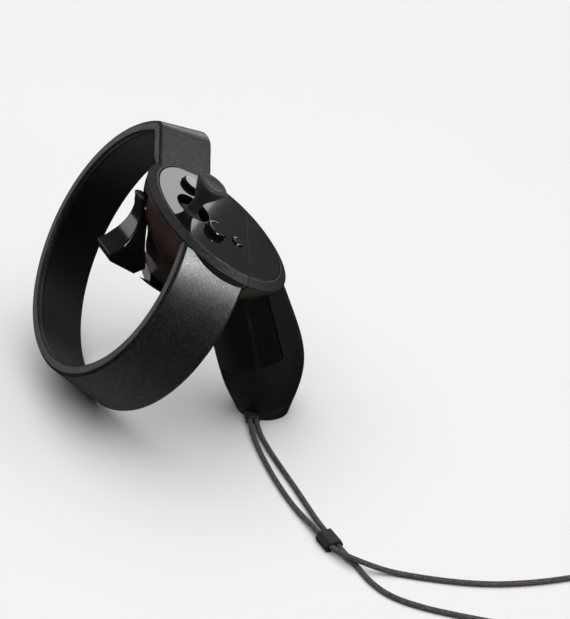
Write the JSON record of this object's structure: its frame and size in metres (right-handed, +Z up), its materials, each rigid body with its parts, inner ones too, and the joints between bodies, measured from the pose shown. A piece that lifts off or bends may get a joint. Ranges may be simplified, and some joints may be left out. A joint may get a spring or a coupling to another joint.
{
  "type": "vr motion controller",
  "caption": "Handheld motion controller with a tracking ring round the knuckles, thumbstick, face keys, trigger, grip key and a wrist strap with slider.",
  "frame": {"origin": "on the floor, under the middle of the controller's box without its strap, standing on the ring's bottom and the handle's foot", "axes": "+X to the user's right, +Y forward towards the ring's open front, +Z up from the floor"},
  "size_m": [0.2446, 0.1832, 0.1037],
  "materials": {
    "ring_shell": "fine sparkle grain",
    "liner": "smooth satin",
    "face_gloss": "high gloss",
    "thumb_pad": "gloss with fine grain",
    "bezel": "fine texture",
    "head": "satin",
    "trigger": "satin gloss",
    "button": "high gloss",
    "stick": "matt rubber",
    "handle": "matt",
    "grip_gloss": "satin gloss",
    "inner_plastic": "moulded",
    "steel": "plain",
    "contact": "plated",
    "board": "solder mask",
    "chip": "moulded",
    "flex": "polyimide film",
    "led": "clear",
    "silicone": "translucent silicone",
    "cell": "printed sleeve",
    "braid": "braided cord",
    "slider": "satin moulded"
  },
  "bodies": {
    "body": {"ring_outer_shell": "ring_shell", "ring_inner_shell": "liner", "ring_led_flex": "flex", "ring_leds": "led", "bezel_front": "bezel", "bezel_rear": "bezel", "face_plate": "face_gloss", "thumb_rest": "thumb_pad", "head_shell": "head", "head_collar": "grip_gloss", "trigger_pin": "steel", "trigger_spring": "steel", "stick_base": "inner_plastic", "button_membrane": "silicone", "button_board": "board", "main_board": "board", "board_chips": "chip", "board_screws": "steel", "haptic_motor": "steel", "grip_pin": "steel", "grip_left": "handle", "grip_right": "handle", "butt_cap": "handle", "grip_screws": "steel", "battery_cell": "cell", "battery_cradle": "inner_plastic", "contact_plate": "contact", "contact_spring": "contact", "strap_ferrule": "slider", "wrist_strap": "braid"},
    "stick_gimbal_body": {"stick_gimbal": "inner_plastic"},
    "stick_body": {"stick_cap": "stick", "stick_pad": "stick"},
    "lower_key": {"button_lower": "button"},
    "upper_key": {"button_upper": "button"},
    "home_key": {"home_button": "button"},
    "trigger_body": {"trigger_lever": "trigger", "trigger_magnet": "steel"},
    "grip_key": {"grip_button": "grip_gloss"},
    "cover_body": {"battery_cover": "handle"},
    "slider_body": {"strap_slider": "slider"}
  },
  "joints": [
    {"name": "stick_pitch", "type": "hinge", "parent": "body", "child": "stick_gimbal_body", "pos_m": [-0.01867, 0.00574, 0.08068], "axis": [0.9815, -0.0889, 0.1696], "range_deg": [-18, 18], "stiffness_Nm_per_rad": 0.02},
    {"name": "stick_roll", "type": "hinge", "parent": "stick_gimbal_body", "child": "stick_body", "pos_m": [-0.01867, 0.00574, 0.08068], "axis": [0, 0.8857, 0.4643], "range_deg": [-18, 18], "stiffness_Nm_per_rad": 0.02},
    {"name": "lower_press", "type": "slide", "parent": "body", "child": "lower_key", "axis": [0.1915, 0.4557, -0.8693], "range_m": [0, 0.001], "stiffness_N_per_m": 600, "springref_m": -0.0005},
    {"name": "upper_press", "type": "slide", "parent": "body", "child": "upper_key", "axis": [0.1915, 0.4557, -0.8693], "range_m": [0, 0.001], "stiffness_N_per_m": 600, "springref_m": -0.0005},
    {"name": "home_press", "type": "slide", "parent": "body", "child": "home_key", "axis": [0.1915, 0.4557, -0.8693], "range_m": [0, 0.001], "stiffness_N_per_m": 600, "springref_m": -0.0005},
    {"name": "trigger_pull", "type": "hinge", "parent": "body", "child": "trigger_body", "pos_m": [-0.01364, 0.01968, 0.08725], "axis": [-0.9985, -0.0256, 0.0488], "range_deg": [0, 12], "stiffness_Nm_per_rad": 0.08, "springref_deg": -5.73},
    {"name": "grip_press", "type": "hinge", "parent": "body", "child": "grip_key", "pos_m": [-0.02841, -0.00906, 0.04232], "axis": [0.0678, 0.3211, 0.9446], "range_deg": [0, 4], "stiffness_Nm_per_rad": 0.08, "springref_deg": -4.58},
    {"name": "cover_slide", "type": "slide", "parent": "body", "child": "cover_body", "axis": [0.9969, 0.0161, -0.077], "range_m": [0, 0.012]},
    {"name": "slider_slide", "type": "slide", "parent": "body", "child": "slider_body", "axis": [0.9929, 0.1191, 0], "range_m": [0, 0.006]}
  ]
}
